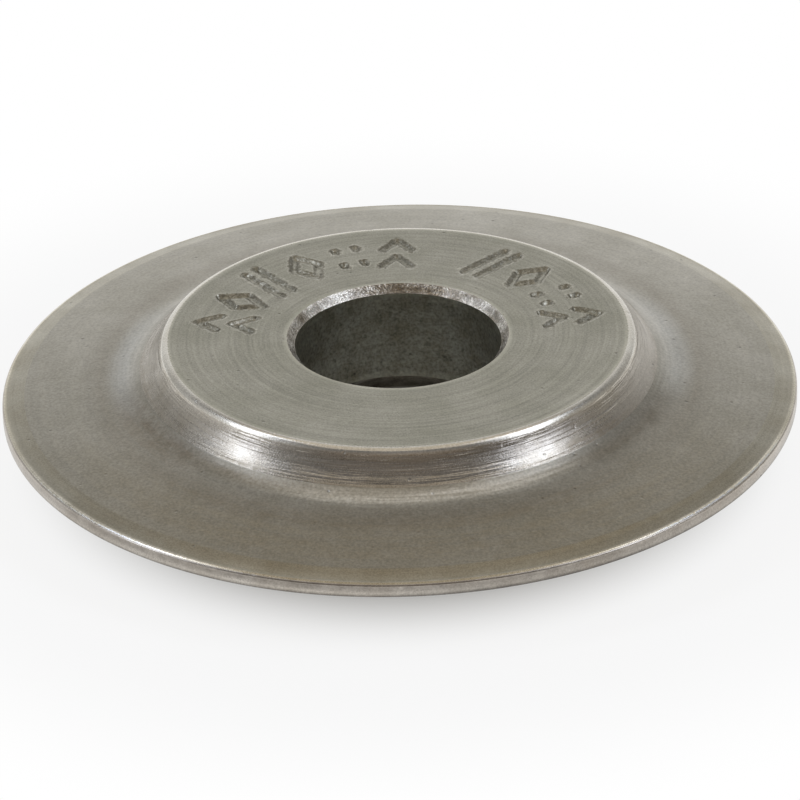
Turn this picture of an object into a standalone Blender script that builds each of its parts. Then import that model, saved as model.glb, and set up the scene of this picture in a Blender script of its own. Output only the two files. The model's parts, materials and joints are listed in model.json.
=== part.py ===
"""Cutter wheel of a small tube cutter, turned from one bar of tool steel.

The wheel's axis is +Z and its origin is its centre, midway between the two faces of the hub.
The thin web falls from the hub to a bevel and a blunt cutting edge, and both sides are alike,
apart from the larger countersink under the bore and the marks stamped in the upper face.
Sizes are in metres, angles in radians.
"""
import math

import bmesh
import bpy
from mathutils import Vector

MM = 0.001

# Cutting edge and web
WHEEL_DIAMETER = 18.5 * MM
EDGE_LAND = 0.30 * MM
EDGE_ROUNDING = 0.05 * MM
EDGE_BEVEL_WIDTH = 0.52 * MM
EDGE_BEVEL_SLOPE = math.radians(16.0)
WEB_SLOPE = math.radians(8.0)

# Hub
HUB_LENGTH = 3.0 * MM
HUB_FACE_DIAMETER = 10.94 * MM
HUB_EDGE_ROUNDING = 0.19 * MM
HUB_SIDE_SLOPE = math.radians(65.0)

# Bore for the cutter's wheel pin
BORE_DIAMETER = 4.8 * MM
UPPER_CHAMFER = 0.18 * MM
LOWER_COUNTERSINK = 0.60 * MM

# Marks stamped in the upper face, in two arcs about the bore
MARK_OUTER_MARGIN = 0.42 * MM
MARK_INNER_MARGIN = 0.75 * MM
MARK_STROKE = 0.17 * MM
MARK_DEPTH = 0.10 * MM
LEFT_ARC_START = math.radians(168.5)
RIGHT_ARC_START = math.radians(56.5)
MARK_PITCH = math.radians(15.8)
MARK_GAP = 0.30 * MM

# Fineness and shading of the round shapes
SEGMENTS = 96
ARC_TOLERANCE = 0.006 * MM
SHARP_FROM = math.radians(28.0)
WELD_DISTANCE = 0.5e-6
CUTTER_HEADROOM = 0.2 * MM

STEEL_COLOUR = (0.215, 0.205, 0.178, 1.0)
STEEL_ROUGHNESS = 0.42


def clear_scene():
    """Remove every object, so that the script starts from an empty scene."""
    for old in list(bpy.data.objects):
        bpy.data.objects.remove(old, do_unlink=True)


def steel_material():
    """Hardened tool steel, dull grey with a warm tint."""
    material = bpy.data.materials.new("hardened_tool_steel")
    material.use_nodes = True
    shader = material.node_tree.nodes["Principled BSDF"]
    shader.inputs["Base Color"].default_value = STEEL_COLOUR
    shader.inputs["Metallic"].default_value = 1.0
    shader.inputs["Roughness"].default_value = STEEL_ROUGHNESS
    return material


def rounded_corner(before, corner, after, radius):
    """Points of the arc that rounds one corner of an outline, tangent to both of its lines."""
    to_before = (before - corner).normalized()
    to_after = (after - corner).normalized()
    opening = to_before.angle(to_after)
    reach = radius / math.tan(opening / 2)
    centre = corner + (to_before + to_after).normalized() * radius / math.sin(opening / 2)
    start = corner + to_before * reach - centre
    turn = math.pi - opening
    if start.cross(corner + to_after * reach - centre) < 0:
        turn = -turn
    widest_step = 2 * math.acos(1 - ARC_TOLERANCE / radius)
    steps = max(2, math.ceil(abs(turn) / widest_step))
    points = []
    for step in range(steps + 1):
        angle = turn * step / steps
        cosine, sine = math.cos(angle), math.sin(angle)
        points.append(centre + Vector((start.x * cosine - start.y * sine, start.x * sine + start.y * cosine)))
    return points


def rounded_outline(corners):
    """Closed outline from (radius, height, rounding) corners, in the order given."""
    places = [Vector((radius, height)) for radius, height, _ in corners]
    outline = []
    for index, (_, _, rounding) in enumerate(corners):
        before, corner, after = places[index - 1], places[index], places[(index + 1) % len(places)]
        if rounding > 0:
            outline += rounded_corner(before, corner, after, rounding)
        else:
            outline.append(corner)
    return outline


def flank_corners():
    """Corners of one side of the wheel, from the hub's face out to the cutting edge.

    The hub's side falls steeply from its rounded edge, and one wide fillet takes it into the web.
    """
    rim_radius = WHEEL_DIAMETER / 2
    bevel_radius = rim_radius - EDGE_BEVEL_WIDTH
    bevel_height = EDGE_LAND / 2 + EDGE_BEVEL_WIDTH * math.tan(EDGE_BEVEL_SLOPE)
    face_radius = HUB_FACE_DIAMETER / 2
    face_height = HUB_LENGTH / 2
    web_fall, side_fall = math.tan(WEB_SLOPE), math.tan(HUB_SIDE_SLOPE)
    drop_at_face = face_height - bevel_height - (bevel_radius - face_radius) * web_fall
    root_run = drop_at_face / (side_fall - web_fall)
    side_length = root_run / math.cos(HUB_SIDE_SLOPE)
    fillet_reach = side_length - HUB_EDGE_ROUNDING * math.tan(HUB_SIDE_SLOPE / 2)
    fillet_radius = fillet_reach / math.tan((HUB_SIDE_SLOPE - WEB_SLOPE) / 2)
    return [
        (face_radius, face_height, HUB_EDGE_ROUNDING),
        (face_radius + root_run, face_height - root_run * side_fall, fillet_radius),
        (bevel_radius, bevel_height, 0.0),
        (rim_radius, EDGE_LAND / 2, EDGE_ROUNDING),
    ]


def bore_corners():
    """Corners of the bore, from its lower countersink up to its upper chamfer."""
    bore_radius = BORE_DIAMETER / 2
    face_height = HUB_LENGTH / 2
    return [
        (bore_radius + LOWER_COUNTERSINK, -face_height, 0.0),
        (bore_radius, -face_height + LOWER_COUNTERSINK, 0.0),
        (bore_radius, face_height - UPPER_CHAMFER, 0.0),
        (bore_radius + UPPER_CHAMFER, face_height, 0.0),
    ]


def wheel_outline():
    """The wheel's half section: up the bore, over the upper side and back under the lower one."""
    upper = flank_corners()
    lower = [(radius, -height, rounding) for radius, height, rounding in reversed(upper)]
    return rounded_outline(bore_corners() + upper + lower)


def turned_mesh(name, outline):
    """Spin a closed half section once about +Z."""
    shape = bmesh.new()
    ring = [shape.verts.new((point.x, 0.0, point.y)) for point in outline]
    edges = [shape.edges.new((ring[index - 1], ring[index])) for index in range(len(ring))]
    bmesh.ops.spin(
        shape,
        geom=ring + edges,
        cent=(0.0, 0.0, 0.0),
        axis=(0.0, 0.0, 1.0),
        angle=2 * math.pi,
        steps=SEGMENTS,
        use_merge=True,
    )
    bmesh.ops.remove_doubles(shape, verts=shape.verts, dist=WELD_DISTANCE)
    bmesh.ops.recalc_face_normals(shape, faces=shape.faces)
    mesh = bpy.data.meshes.new(name)
    shape.to_mesh(mesh)
    shape.free()
    return mesh


# Each mark is a list of (points, closed) lines in a square from -1 to 1, x along the arc and y outwards
def lozenge_mark():
    """A hollow lozenge."""
    return [([(0.0, -0.85), (1.0, 0.0), (0.0, 0.85), (-1.0, 0.0)], True)]


def bars_mark():
    """Two slanting bars, side by side."""
    return [([(-1.0, -1.0), (-0.2, 1.0)], False), ([(0.2, -1.0), (1.0, 1.0)], False)]


def chevrons_mark():
    """Two chevrons, one above the other."""
    return [([(-1.0, foot), (0.0, foot + 0.7), (1.0, foot)], False) for foot in (-0.95, 0.25)]


def dots_mark():
    """Four short punches in a square."""
    return [([(x, y - 0.08), (x, y + 0.08)], False) for x in (-0.75, 0.75) for y in (-0.55, 0.55)]


LEFT_MARKS = (chevrons_mark, lozenge_mark, bars_mark, lozenge_mark, dots_mark, chevrons_mark)
RIGHT_MARKS = (bars_mark, lozenge_mark, dots_mark, chevrons_mark)


def stroke_sides(points, closed, width):
    """Left and right sides of a line of the given width, mitred at its bends."""
    left, right = [], []
    count = len(points)
    for index, point in enumerate(points):
        ahead = points[(index + 1) % count] - point if closed or index < count - 1 else None
        behind = point - points[index - 1] if closed or index > 0 else None
        first = (behind or ahead).normalized()
        second = (ahead or behind).normalized()
        along = (first + second).normalized()
        offset = Vector((-along.y, along.x)) * (width / 2) / along.dot(first)
        left.append(point + offset)
        right.append(point - offset)
    return left, right


def add_stroke(shape, points, closed, bottom, top):
    """Add one line of a mark to the cutter, as a closed prism."""
    left, right = stroke_sides(points, closed, MARK_STROKE)
    corners = [[shape.verts.new((side.x, side.y, height)) for side in sides]
               for sides in (left, right) for height in (bottom, top)]
    left_low, left_high, right_low, right_high = corners
    spans = range(len(points) if closed else len(points) - 1)
    for index in spans:
        after = (index + 1) % len(points)
        shape.faces.new((left_high[index], right_high[index], right_high[after], left_high[after]))
        shape.faces.new((left_low[after], right_low[after], right_low[index], left_low[index]))
        shape.faces.new((left_low[index], left_high[index], left_high[after], left_low[after]))
        shape.faces.new((right_low[after], right_high[after], right_high[index], right_low[index]))
    if not closed:
        shape.faces.new((left_low[0], right_low[0], right_high[0], left_high[0]))
        shape.faces.new((left_high[-1], right_high[-1], right_low[-1], left_low[-1]))


def mark_cutter():
    """The stamp that sinks every mark into the upper face."""
    inner = BORE_DIAMETER / 2 + UPPER_CHAMFER + MARK_INNER_MARGIN
    outer = HUB_FACE_DIAMETER / 2 - HUB_EDGE_ROUNDING - MARK_OUTER_MARGIN
    middle = (inner + outer) / 2
    half_height = (outer - inner - MARK_STROKE) / 2
    half_width = (middle * MARK_PITCH - MARK_GAP - MARK_STROKE) / 2
    face = HUB_LENGTH / 2
    shape = bmesh.new()
    for start, marks in ((LEFT_ARC_START, LEFT_MARKS), (RIGHT_ARC_START, RIGHT_MARKS)):
        for place, mark in enumerate(marks):
            turn = start - place * MARK_PITCH
            outwards = Vector((math.cos(turn), math.sin(turn)))
            along = Vector((outwards.y, -outwards.x))
            for points, closed in mark():
                line = [outwards * (middle + y * half_height) + along * x * half_width for x, y in points]
                add_stroke(shape, line, closed, face - MARK_DEPTH, face + CUTTER_HEADROOM)
    bmesh.ops.recalc_face_normals(shape, faces=shape.faces)
    mesh = bpy.data.meshes.new("mark_cutter")
    shape.to_mesh(mesh)
    shape.free()
    return mesh


def build_wheel():
    """The turned wheel, with the marks cut in its upper face."""
    collection = bpy.context.collection
    stamp = bpy.data.objects.new("mark_cutter", mark_cutter())
    stamp.hide_render = True
    stamp.display_type = 'WIRE'
    collection.objects.link(stamp)

    wheel = bpy.data.objects.new("cutter_wheel", turned_mesh("turned_blank", wheel_outline()))
    wheel.data.materials.append(steel_material())
    collection.objects.link(wheel)
    stamping = wheel.modifiers.new("stamped_marks", 'BOOLEAN')
    stamping.operation = 'DIFFERENCE'
    stamping.solver = 'EXACT'
    stamping.object = stamp

    cut = bpy.data.meshes.new_from_object(wheel.evaluated_get(bpy.context.evaluated_depsgraph_get()))
    wheel.modifiers.remove(stamping)
    wheel.data = cut
    cut.name = "cutter_wheel"
    cut.shade_smooth()
    cut.set_sharp_from_angle(angle=SHARP_FROM)
    return wheel


def main():
    clear_scene()
    build_wheel()


main()
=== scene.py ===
"""Looks of the pipe cutter wheel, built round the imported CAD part.

The wheel is one piece of hardened tool steel. Its outline is swept once round the axis, generic marks
are stamped into the upper hub face, and each machined surface has the finish that its tool left on it.
Sizes in the classes are in millimetres and angles in degrees; meshes are in metres.
"""

import json
import logging
import math
from dataclasses import dataclass
from enum import IntEnum

import bpy
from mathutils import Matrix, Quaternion, Vector

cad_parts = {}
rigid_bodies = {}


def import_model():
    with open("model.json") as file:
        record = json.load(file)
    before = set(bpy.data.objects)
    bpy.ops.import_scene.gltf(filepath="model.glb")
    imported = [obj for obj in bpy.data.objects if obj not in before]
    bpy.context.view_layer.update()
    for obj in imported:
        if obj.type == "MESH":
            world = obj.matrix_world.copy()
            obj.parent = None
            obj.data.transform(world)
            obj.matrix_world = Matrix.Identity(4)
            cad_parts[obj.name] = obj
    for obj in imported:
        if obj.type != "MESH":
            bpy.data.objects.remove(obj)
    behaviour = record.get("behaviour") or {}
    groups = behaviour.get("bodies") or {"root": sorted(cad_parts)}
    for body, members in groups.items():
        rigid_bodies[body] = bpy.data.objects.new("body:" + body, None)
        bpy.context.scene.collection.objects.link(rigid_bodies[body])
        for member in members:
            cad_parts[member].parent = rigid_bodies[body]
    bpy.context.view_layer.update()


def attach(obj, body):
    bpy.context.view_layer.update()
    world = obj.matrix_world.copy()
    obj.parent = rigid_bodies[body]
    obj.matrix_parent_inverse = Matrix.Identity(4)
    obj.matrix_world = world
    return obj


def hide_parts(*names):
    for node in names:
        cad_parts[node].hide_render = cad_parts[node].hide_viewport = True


LOG = logging.getLogger("pipe_cutter_wheel")
MM = 0.001
CAD_NODE = "cutter_wheel"
CAD_BODY = "root"
IMAGE_SIDE = 800

Point = tuple[float, float]
Socket = bpy.types.NodeSocket


class Zone(IntEnum):
    """Machined surfaces of the wheel, each left by its own tool."""

    BORE = 0
    CHAMFER = 1
    HUB_FACE = 2
    HUB_EDGE = 3
    HUB_SIDE = 4
    WEB = 5
    BEVEL = 6
    LAND = 7


class Motif(IntEnum):
    """Generic marks, one hand punch for each; they spell nothing."""

    LOZENGE = 0
    BARS = 1
    CHEVRONS = 2
    DOTS = 3


def linear(colour: str) -> tuple[float, float, float, float]:
    """Turn an sRGB hex colour into linear light.

    Args:
        colour: six hex digits, with or without a leading "#".

    Returns:
        Red, green, blue and an alpha of one.
    """
    digits = colour.lstrip("#")
    channels = [int(digits[start:start + 2], 16) / 255 for start in (0, 2, 4)]
    red, green, blue = (c / 12.92 if c <= 0.04045 else ((c + 0.055) / 1.055) ** 2.4 for c in channels)
    return red, green, blue, 1.0


def direction(azimuth: float, elevation: float) -> Vector:
    """Unit vector towards a place on the dome; azimuth 0 is +X and 90 is +Y."""
    turn, rise = math.radians(azimuth), math.radians(elevation)
    return Vector((math.cos(turn) * math.cos(rise), math.sin(turn) * math.cos(rise), math.sin(rise)))


def on_wheel(azimuth: float, radius: float, height: float) -> Vector:
    """Place on the wheel, in metres, of an azimuth with a radius and height in millimetres."""
    return (direction(azimuth, 0.0) * radius + Vector((0.0, 0.0, height))) * MM


@dataclass
class NodeBench:
    """Places nodes in one tree and joins them up."""

    tree: bpy.types.NodeTree

    def add(self, kind: str, feeds: dict | None = None, out: int | str = 0, **settings: object) -> object:
        """Add one node with its settings, values and links.

        Args:
            kind: type name of the node.
            feeds: values or sockets for its inputs, by name or index.
            out: the output to hand back, by name or index.
            settings: the node's own properties.

        Returns:
            The chosen output socket, or the node itself where it has no outputs.
        """
        node = self.tree.nodes.new(kind)
        for name, value in settings.items():
            setattr(node, name, value)
        for key, value in (feeds or {}).items():
            if isinstance(value, Socket):
                self.tree.links.new(value, node.inputs[key])
            else:
                node.inputs[key].default_value = value
        return node.outputs[out] if len(node.outputs) else node


@dataclass(frozen=True)
class Strip:
    """One stretch of the wheel's outline, from corner to corner.

    Attributes:
        zone: the surface it sweeps out.
        points: radius and height of its points, in millimetres.
        rubbed: whether handling has rubbed it bright all along.
    """

    zone: Zone
    points: list[Point]
    rubbed: bool = False

    def turn_to(self, after: "Strip") -> float:
        """Measure the corner where this strip meets another.

        Args:
            after: the strip that follows it.

        Returns:
            The angle by which the outline turns there, in degrees.
        """
        (r0, z0), (r1, z1) = self.points[-2:]
        (r2, z2), (r3, z3) = after.points[:2]
        turn = math.atan2(z3 - z2, r3 - r2) - math.atan2(z1 - z0, r1 - r0)
        return abs(math.degrees(math.remainder(turn, math.tau)))


@dataclass(frozen=True)
class ToolRing:
    """A fine ring that the turning tool left: raised, or a groove where its height is below zero."""

    radius: float
    width: float
    height: float

    def lift(self, radius: float) -> float:
        """Height that the ring adds at a radius."""
        near = max(0.0, 1.0 - abs(radius - self.radius) / self.width)
        return self.height * near * near * (3.0 - 2.0 * near)

    def stops(self, points: list[Point]) -> list[float]:
        """Find where a line needs more points, so that the ring shows.

        Args:
            points: points of the line.

        Returns:
            The radii, between those of its ends.
        """
        low, high = sorted((points[0][0], points[-1][0]))
        places = (self.radius + self.width * share for share in (-1.0, -0.5, 0.0, 0.5, 1.0))
        return [place for place in places if low < place < high]


def divided_line(start: Point, end: Point, step: float) -> list[Point]:
    """Points of a straight line, no further apart than a step.

    Args:
        start: first point.
        end: last point.
        step: widest spacing.

    Returns:
        The points, both ends included.
    """
    count = max(1, math.ceil(math.dist(start, end) / step - 1e-6))
    return [tuple(a + (b - a) * k / count for a, b in zip(start, end)) for k in range(count + 1)]


def rounding(start: Point, slope_in: float, slope_out: float, radius: float, steps: int) -> list[Point]:
    """Points of an arc that takes the outline from one slope to another.

    A slope is the angle by which the surface falls outwards, so an arc to a steeper slope is a rounded
    edge and one to a gentler slope is a fillet.

    Args:
        start: where the arc begins.
        slope_in: slope at its beginning.
        slope_out: slope at its end.
        radius: radius of the arc.
        steps: number of its steps.

    Returns:
        The points, both ends included.
    """
    reach = math.copysign(radius, slope_out - slope_in)

    def normal(slope: float) -> Point:
        """Outward normal of the surface at a slope."""
        return math.sin(math.radians(slope)), math.cos(math.radians(slope))

    centre = [place - reach * part for place, part in zip(start, normal(slope_in))]
    slopes = [slope_in + (slope_out - slope_in) * k / steps for k in range(steps + 1)]
    return [tuple(c + reach * part for c, part in zip(centre, normal(slope))) for slope in slopes]


@dataclass(frozen=True)
class WheelOutline:
    """Half section of the wheel, as its CAD node has it.

    A slope is the angle by which a surface falls outwards. The steps are those of the outline's arcs, and
    the spacings those of the points of its straight lines; the under side has fewer points.

    Attributes:
        wheel_radius: radius of the cutting edge.
        land_height: height of the blunt land at the rim.
        land_rounding: radius of the land's corners.
        bevel_width: width of the bevel beside the land.
        bevel_slope: slope of the bevel.
        web_slope: slope of the web.
        hub_length: length of the hub.
        hub_face_radius: radius at which the hub's face and side would meet without a rounding.
        hub_edge_rounding: radius of the rounding between them.
        hub_side_slope: slope of the hub's side at its top.
        side_end_slope: slope in the fillet at which the side's finish gives way to the web's.
        bore_radius: radius of the bore.
        upper_chamfer: width and height of the bore's upper chamfer.
        lower_countersink: width and height of the countersink below.
        mark_band_inner: inner radius of the part of the face that the marks need divided finely.
        mark_band_outer: its outer radius.
        burr_allowance: room that the upper face leaves for its burrs.
        tool_rings: fine rings left by the turning tool.
        under_coarseness: spacing on the under side, as a multiple of that above.
        least_gap: distance from a point below which a tool ring adds none.
    """

    wheel_radius: float = 9.25
    land_height: float = 0.30
    land_rounding: float = 0.05
    bevel_width: float = 0.52
    bevel_slope: float = 16.0
    web_slope: float = 8.0
    hub_length: float = 3.0
    hub_face_radius: float = 5.47
    hub_edge_rounding: float = 0.19
    hub_side_slope: float = 65.0
    side_end_slope: float = 33.0
    bore_radius: float = 2.40
    upper_chamfer: float = 0.18
    lower_countersink: float = 0.60
    mark_band_inner: float = 3.33
    mark_band_outer: float = 4.86
    burr_allowance: float = 0.012
    tool_rings: tuple[ToolRing, ...] = (
        ToolRing(5.875, 0.040, 0.006),
        ToolRing(6.030, 0.045, -0.004),
        ToolRing(8.72, 0.045, -0.002),
        ToolRing(9.172, 0.038, 0.012),
    )
    edge_steps: int = 6
    side_steps: int = 12
    fillet_steps: int = 9
    corner_steps: int = 4
    web_spacing: float = 0.22
    bevel_spacing: float = 0.13
    land_spacing: float = 0.12
    inner_face_spacing: float = 0.13
    marked_face_spacing: float = 0.044
    outer_face_spacing: float = 0.11
    plain_face_spacing: float = 0.40
    chamfer_spacing: float = 0.045
    bore_spacing: float = 0.22
    under_coarseness: float = 3.0
    least_gap: float = 0.005

    @property
    def upper_face(self) -> float:
        """Height of the upper hub face, low enough for its burrs to stay inside the hub's length."""
        return self.hub_length / 2 - self.burr_allowance

    def flank(self, face_height: float, coarseness: float, rubbed: bool) -> list[Strip]:
        """Draw one side of the wheel, from the hub's edge to the middle of the cutting land.

        Args:
            face_height: height of the hub face on this side.
            coarseness: spacing of the points as a multiple of the finest.
            rubbed: whether handling has rubbed its edges bright.

        Returns:
            The strips, going outwards on the upper side.
        """
        side, web, bevel = self.hub_side_slope, self.web_slope, self.bevel_slope
        edge_reach = self.hub_edge_rounding * math.tan(math.radians(side) / 2)
        face_end = (self.hub_face_radius - edge_reach, face_height)
        edge = rounding(face_end, 0.0, side, self.hub_edge_rounding, self.edge_steps)

        bevel_radius = self.wheel_radius - self.bevel_width
        bevel_height = self.land_height / 2 + self.bevel_width * math.tan(math.radians(bevel))
        web_fall = math.tan(math.radians(web))
        side_run, side_drop = math.cos(math.radians(side)), math.sin(math.radians(side))
        above_web = edge[-1][1] - bevel_height - (bevel_radius - edge[-1][0]) * web_fall
        fillet_reach = above_web / (side_drop - side_run * web_fall)
        fillet_radius = fillet_reach / math.tan(math.radians(side - web) / 2)
        side_steps, fillet_steps = (round(n / coarseness) for n in (self.side_steps, self.fillet_steps))
        side_arc = rounding(edge[-1], side, self.side_end_slope, fillet_radius, side_steps)
        fillet = rounding(side_arc[-1], self.side_end_slope, web, fillet_radius, fillet_steps)

        land_reach = self.land_rounding * math.tan(math.radians(90.0 - bevel) / 2)
        bevel_end = (
            self.wheel_radius - land_reach * math.cos(math.radians(bevel)),
            self.land_height / 2 + land_reach * math.sin(math.radians(bevel)),
        )
        corner = rounding(bevel_end, bevel, 90.0, self.land_rounding, self.corner_steps)
        web_line = divided_line(fillet[-1], (bevel_radius, bevel_height), self.web_spacing * coarseness)
        bevel_line = divided_line(web_line[-1], bevel_end, self.bevel_spacing * coarseness)
        return [
            Strip(Zone.HUB_EDGE, edge, rubbed),
            Strip(Zone.HUB_SIDE, self.ringed(side_arc)),
            Strip(Zone.WEB, self.ringed(fillet + web_line[1:])),
            Strip(Zone.BEVEL, self.ringed(bevel_line)),
            Strip(Zone.LAND, corner, rubbed),
            Strip(Zone.LAND, divided_line(corner[-1], (self.wheel_radius, 0.0), self.land_spacing)),
        ]

    def ringed(self, points: list[Point]) -> list[Point]:
        """Put the tool's rings on a line that runs outwards.

        Args:
            points: the plain line.

        Returns:
            The line with more points at the rings, lifted or lowered by them.
        """
        stops = sorted({stop for ring in self.tool_rings for stop in ring.stops(points)})
        line = list(points)
        for stop in stops:
            place = next(k for k, (radius, _) in enumerate(line) if radius > stop)
            (r0, z0), (r1, z1) = line[place - 1], line[place]
            if min(stop - r0, r1 - stop) > self.least_gap:
                line.insert(place, (stop, z0 + (z1 - z0) * (stop - r0) / (r1 - r0)))
        return [(radius, height + sum(ring.lift(radius) for ring in self.tool_rings))
                for radius, height in line]

    def strips(self) -> list[Strip]:
        """Draw the whole half section.

        Returns:
            Its strips, from the middle of the bore up, over the wheel and back round to it.
        """
        face, bottom = self.upper_face, -self.hub_length / 2
        upper = self.flank(face, 1.0, True)
        lower = [
            Strip(strip.zone, [(radius, -height) for radius, height in reversed(strip.points)], strip.rubbed)
            for strip in reversed(self.flank(-bottom, self.under_coarseness, False))
        ]
        chamfer_top = (self.bore_radius + self.upper_chamfer, face)
        chamfer_foot = (self.bore_radius, face - self.upper_chamfer)
        sink_mouth = (self.bore_radius + self.lower_countersink, bottom)
        sink_top = (self.bore_radius, bottom + self.lower_countersink)
        band_start, band_end = (self.mark_band_inner, face), (self.mark_band_outer, face)
        upper_face = divided_line(chamfer_top, band_start, self.inner_face_spacing)
        upper_face += divided_line(band_start, band_end, self.marked_face_spacing)[1:]
        upper_face += divided_line(band_end, upper[0].points[0], self.outer_face_spacing)[1:]
        lower_face = divided_line(lower[-1].points[-1], sink_mouth, self.plain_face_spacing)
        return [
            Strip(Zone.BORE, divided_line((self.bore_radius, 0.0), chamfer_foot, self.bore_spacing)),
            Strip(Zone.CHAMFER, divided_line(chamfer_foot, chamfer_top, self.chamfer_spacing)),
            Strip(Zone.HUB_FACE, upper_face),
            *upper,
            *lower,
            Strip(Zone.HUB_FACE, lower_face),
            Strip(Zone.CHAMFER, divided_line(sink_mouth, sink_top, self.bore_spacing)),
            Strip(Zone.BORE, divided_line(sink_top, (self.bore_radius, 0.0), self.bore_spacing)),
        ]


@dataclass(frozen=True)
class StampedMarks:
    """Two arcs of generic marks, struck into the upper hub face with hand punches.

    Attributes:
        left_start: azimuth of the first mark on the left.
        right_start: azimuth of the first mark on the right.
        pitch: angle from one mark to the next.
        ring_radius: radius of the marks' middles.
        half_height: half the height of a mark.
        half_width: half its width.
        stroke: width of its lines.
        depth: depth of its lines.
        wall: width of their walls.
        burr: height of the burr beside them.
        greatest_tilt: how far a punch is turned at most when it is struck, in radians.
        tear_scale: scale of the noise that tears the walls, to the metre.
        blow_scale: scale of the noise that makes some parts of a mark fainter, to the metre.
        blow_range: values of that noise between which a mark goes from faint to full.
        faintest: depth of the faintest parts, as a share.
        left: the marks on the left, going clockwise.
        right: the marks on the right, going clockwise.
    """

    left_start: float = 168.5
    right_start: float = 56.5
    pitch: float = 15.8
    ring_radius: float = 4.095
    half_height: float = 0.68
    half_width: float = 0.3296
    stroke: float = 0.15
    depth: float = 0.080
    wall: float = 0.06
    burr: float = 0.011
    greatest_tilt: float = 0.045
    tear_scale: float = 2800.0
    blow_scale: float = 700.0
    blow_range: Point = (0.3, 0.65)
    faintest: float = 0.45
    left: tuple[Motif, ...] = (
        Motif.CHEVRONS, Motif.LOZENGE, Motif.BARS, Motif.LOZENGE, Motif.DOTS, Motif.CHEVRONS
    )
    right: tuple[Motif, ...] = (Motif.BARS, Motif.LOZENGE, Motif.DOTS, Motif.CHEVRONS)

    def punch_lines(self, motif: Motif) -> list[list[Point]]:
        """Lines that a punch presses in, in a square from -1 to 1 with y away from the bore.

        Args:
            motif: the mark.

        Returns:
            Each line as its points; a closed line ends at its first point.
        """
        if motif is Motif.LOZENGE:
            return [[(0.0, -0.85), (1.0, 0.0), (0.0, 0.85), (-1.0, 0.0), (0.0, -0.85)]]
        if motif is Motif.BARS:
            return [[(-1.0, -1.0), (-0.2, 1.0)], [(0.2, -1.0), (1.0, 1.0)]]
        if motif is Motif.CHEVRONS:
            return [[(-1.0, foot), (0.0, foot + 0.7), (1.0, foot)] for foot in (-0.95, 0.25)]
        return [[(x, y - 0.08), (x, y + 0.08)] for x in (-0.75, 0.75) for y in (-0.55, 0.55)]

    def build_punches(self) -> bpy.types.Collection:
        """Make one wire object for each punch.

        Returns:
            A collection of them, in the order of the motifs.
        """
        rack = bpy.data.collections.new("punches")
        for motif in Motif:
            points, edges = [], []
            for line in self.punch_lines(motif):
                edges += [(len(points) + k, len(points) + k + 1) for k in range(len(line) - 1)]
                points += [(x * self.half_width * MM, y * self.half_height * MM, 0.0) for x, y in line]
            wire = bpy.data.meshes.new(f"punch_{int(motif)}")
            wire.from_pydata(points, edges, [])
            rack.objects.link(bpy.data.objects.new(wire.name, wire))
        return rack

    def build_seats(self, height: float) -> bpy.types.Object:
        """Make the points at which the punches strike, with the motif and turn of each.

        Args:
            height: height of the struck face.

        Returns:
            The object that holds the points.
        """
        struck = [(motif, self.left_start - place * self.pitch) for place, motif in enumerate(self.left)]
        struck += [(motif, self.right_start - place * self.pitch) for place, motif in enumerate(self.right)]
        seats = bpy.data.meshes.new("punch_seats")
        places = [on_wheel(azimuth, self.ring_radius, height) for _, azimuth in struck]
        seats.from_pydata(places, [], [])
        motifs = seats.attributes.new("motif", 'INT', 'POINT')
        motifs.data.foreach_set("value", [int(motif) for motif, _ in struck])
        turns = seats.attributes.new("turn", 'FLOAT', 'POINT')
        turns.data.foreach_set("value", [math.radians(azimuth - 90.0) for _, azimuth in struck])
        return bpy.data.objects.new(seats.name, seats)


@dataclass(frozen=True)
class Nicks:
    """Small dents that handling has left on the edges.

    Attributes:
        size: radius of a dent.
        depth: its depth.
        places: azimuth, radius and height of each dent.
    """

    size: float = 0.08
    depth: float = 0.020
    places: tuple[tuple[float, float, float], ...] = (
        (8.0, 5.46, 1.46),
        (-148.0, 5.45, 1.47),
        (96.0, 5.46, 1.46),
        (-28.0, 9.25, 0.12),
        (-112.0, 9.25, 0.13),
        (203.0, 9.25, 0.12),
        (-75.0, 9.25, -0.12),
        (140.0, 9.24, -0.12),
    )

    def build(self) -> bpy.types.Object:
        """Make the points at which the edges are dented.

        Returns:
            The object that holds the points.
        """
        dents = bpy.data.meshes.new("nick_places")
        dents.from_pydata([on_wheel(*place) for place in self.places], [], [])
        return bpy.data.objects.new(dents.name, dents)


@dataclass(frozen=True)
class StainOrPaintedLight:
    """A thin stain, or a painted highlight, reflection or shade, on the metal: a ring round the axis, or one
    patch of such a ring.

    Attributes:
        colour: its colour.
        cover: how much of the metal it hides at most.
        middle: radius and height of its middle.
        reach: distance at which it ends.
        azimuth: direction of its middle.
        spread: half its width round the axis, in degrees; 180 makes it a whole ring.
        dulling: change of the roughness under it.
        grit: size of the spots that tear it.
        least: cover left where it is torn most, as a share.
    """

    colour: str
    cover: float
    middle: Point
    reach: float
    azimuth: float = 0.0
    spread: float = 180.0
    dulling: float = 0.0
    grit: float = 0.28
    least: float = 0.15


@dataclass(frozen=True)
class SurfacePlaces:
    """Sockets that say where on the wheel a point of the surface is, in millimetres.

    Attributes:
        position: its place.
        around: direction from the axis to it.
        section: its radius and height.
        run: how far along the outline it is.
        wear: how much handling has rubbed it, from zero to one.
    """

    position: Socket
    around: Socket
    section: Socket
    run: Socket
    wear: Socket


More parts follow.
